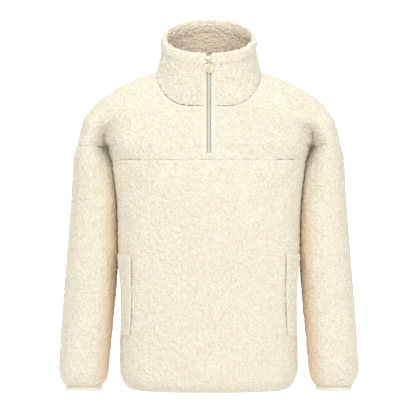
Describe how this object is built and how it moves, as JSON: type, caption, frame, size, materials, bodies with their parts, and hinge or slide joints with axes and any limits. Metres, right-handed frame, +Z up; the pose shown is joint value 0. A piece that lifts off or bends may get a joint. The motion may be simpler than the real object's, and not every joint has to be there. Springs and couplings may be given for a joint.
{
  "type": "half-zip fleece",
  "caption": "High-pile fleece half-zip pullover with a funnel collar, dropped shoulders, side pockets and elastic cuffs, filled out as worn.",
  "frame": {"origin": "middle of the neck base, level with the highest points of the shoulders, where the wearer's shoulders hold the garment", "axes": "+Z up, front faces -Y, +X is to the right in the front view"},
  "size_m": [0.5956, 0.2373, 0.7433],
  "materials": {
    "fleece": "nubby high-pile fleece, matt",
    "elastic": "smooth elastic binding with a soft sheen",
    "zip_tape": "woven tape",
    "gold": "pale gold plating, satin"
  },
  "bodies": {
    "garment": {"front_yoke": "fleece", "front_body": "fleece", "back": "fleece", "collar": "fleece", "sleeve_left": "fleece", "sleeve_right": "fleece", "pocket_welt_left": "fleece", "pocket_welt_right": "fleece", "cuff_binding_left": "elastic", "cuff_binding_right": "elastic", "hem_binding": "elastic", "zip_tape_left": "zip_tape", "zip_tape_right": "zip_tape", "zip_slider": "gold", "zip_bail": "gold"},
    "zip_pull": {"zip_pull": "gold"}
  },
  "joints": [
    {"name": "zip_pull_swing", "type": "hinge", "parent": "garment", "child": "zip_pull", "pos_m": [0, -0.0903, 0.0175], "axis": [-1, 0, 0], "range_deg": [0, 150]}
  ]
}
